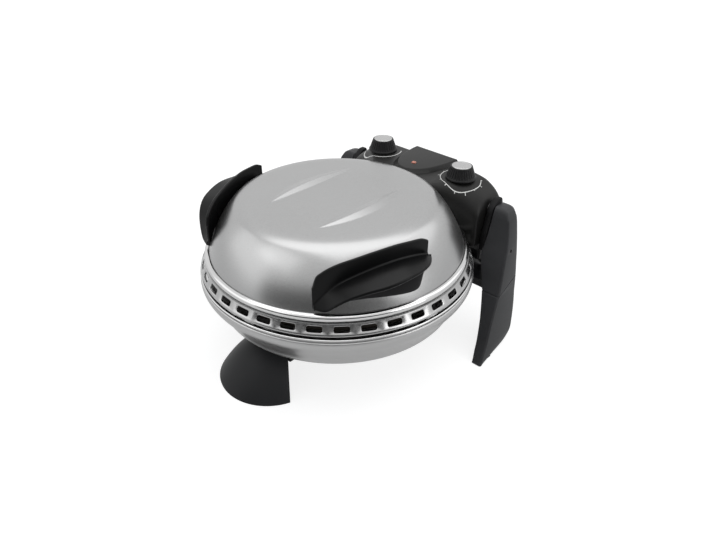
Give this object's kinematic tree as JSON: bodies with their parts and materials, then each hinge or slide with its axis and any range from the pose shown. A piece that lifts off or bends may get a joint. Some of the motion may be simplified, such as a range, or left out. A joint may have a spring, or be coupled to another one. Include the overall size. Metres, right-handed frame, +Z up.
{
  "type": "electric pizza maker",
  "caption": "Round countertop pizza oven: domed metal lid with a slotted ring, side handles and a rear control housing, hinged on a shallow bowl with rear legs and a front foot.",
  "frame": {"origin": "on the floor, under the middle of the part's box", "axes": "+Z up, front of the part towards -Y, +X to the part's right as seen from the front"},
  "size_m": [0.3956, 0.4002, 0.2246],
  "materials": {
    "bowl_steel": "satin, brushed round the bowl",
    "dome_steel": "satin, fine brushing",
    "band_steel": "bright satin",
    "bright_trim": "polished",
    "pan_metal": "matt, rolled sheet",
    "stone": "opaque, unglazed fired stone",
    "element_sheath": "heat-darkened sheath",
    "clip_steel": "plated sheet",
    "ceramic": "opaque white ceramic",
    "wire_sleeve": "silicone sleeve",
    "black_rubber": "matt",
    "foot_plastic": "fine grain",
    "bracket_metal": "black paint",
    "plated_steel": "bright plated",
    "frame_plastic": "fine grain",
    "leg_plastic": "fine grain, charcoal",
    "handle_plastic": "satin black",
    "housing_plastic": "fine grain, black",
    "lens_plastic": "clear amber",
    "lamp_glass": "clear",
    "switch_plastic": "plain moulding",
    "timer_metal": "plain pressed can",
    "capillary": "plain drawn tube",
    "bush_metal": "dark sintered",
    "knob_plastic": "ribbed black",
    "cap_metal": "satin, spun"
  },
  "bodies": {
    "base": {"base_bowl": "bowl_steel", "base_trim_ring": "bright_trim", "base_pan": "pan_metal", "baking_stone": "stone", "lower_element": "element_sheath", "lower_element_clips": "clip_steel", "lower_element_bushes": "ceramic", "lower_wiring": "wire_sleeve", "lead_bush": "black_rubber", "front_foot": "foot_plastic", "front_foot_bracket": "bracket_metal", "front_foot_strip": "black_rubber", "front_foot_screws": "plated_steel", "leg_frame_left": "frame_plastic", "leg_frame_right": "frame_plastic", "leg_cover_left": "leg_plastic", "leg_cover_right": "leg_plastic", "leg_shoe_left": "leg_plastic", "leg_shoe_right": "leg_plastic", "leg_screws": "plated_steel", "leg_pads": "black_rubber", "bowl_bracket_left": "bracket_metal", "bowl_bracket_right": "bracket_metal", "leg_bracket_left": "bracket_metal", "leg_bracket_right": "bracket_metal", "bracket_bolts": "plated_steel", "hinge_pins": "plated_steel"},
    "lid": {"lid_dome": "dome_steel", "heat_shield": "pan_metal", "slotted_band": "band_steel", "bead_ring": "bright_trim", "upper_element": "element_sheath", "upper_element_clips": "clip_steel", "upper_element_bushes": "ceramic", "upper_wiring": "wire_sleeve", "handle_left": "handle_plastic", "handle_right": "handle_plastic", "handle_mount_left": "frame_plastic", "handle_mount_right": "frame_plastic", "handle_screws": "plated_steel", "control_housing": "housing_plastic", "housing_base": "frame_plastic", "housing_screws": "plated_steel", "name_panel": "housing_plastic", "pilot_lens": "lens_plastic", "pilot_lamp": "lamp_glass", "thermostat_body": "switch_plastic", "thermostat_probe": "capillary", "timer_body": "timer_metal", "terminal_block": "switch_plastic", "cord_gland": "black_rubber", "hinge_bush_left": "bush_metal", "hinge_bush_right": "bush_metal"},
    "thermostat_dial": {"thermostat_knob": "knob_plastic", "thermostat_cap": "cap_metal", "thermostat_shaft": "plated_steel"},
    "timer_dial": {"timer_knob": "knob_plastic", "timer_cap": "cap_metal", "timer_shaft": "plated_steel"}
  },
  "joints": [
    {"name": "lid_hinge", "type": "hinge", "parent": "base", "child": "lid", "pos_m": [0, 0.1704, 0.1725], "axis": [-1, 0, 0], "range_deg": [0, 100]},
    {"name": "thermostat_turn", "type": "hinge", "parent": "lid", "child": "thermostat_dial", "pos_m": [-0.0722, 0.1626, 0.2065], "axis": [0, 0, -1], "range_deg": [0, 270]},
    {"name": "timer_turn", "type": "hinge", "parent": "lid", "child": "timer_dial", "pos_m": [0.0722, 0.1626, 0.2065], "axis": [0, 0, -1], "range_deg": [0, 300]}
  ]
}
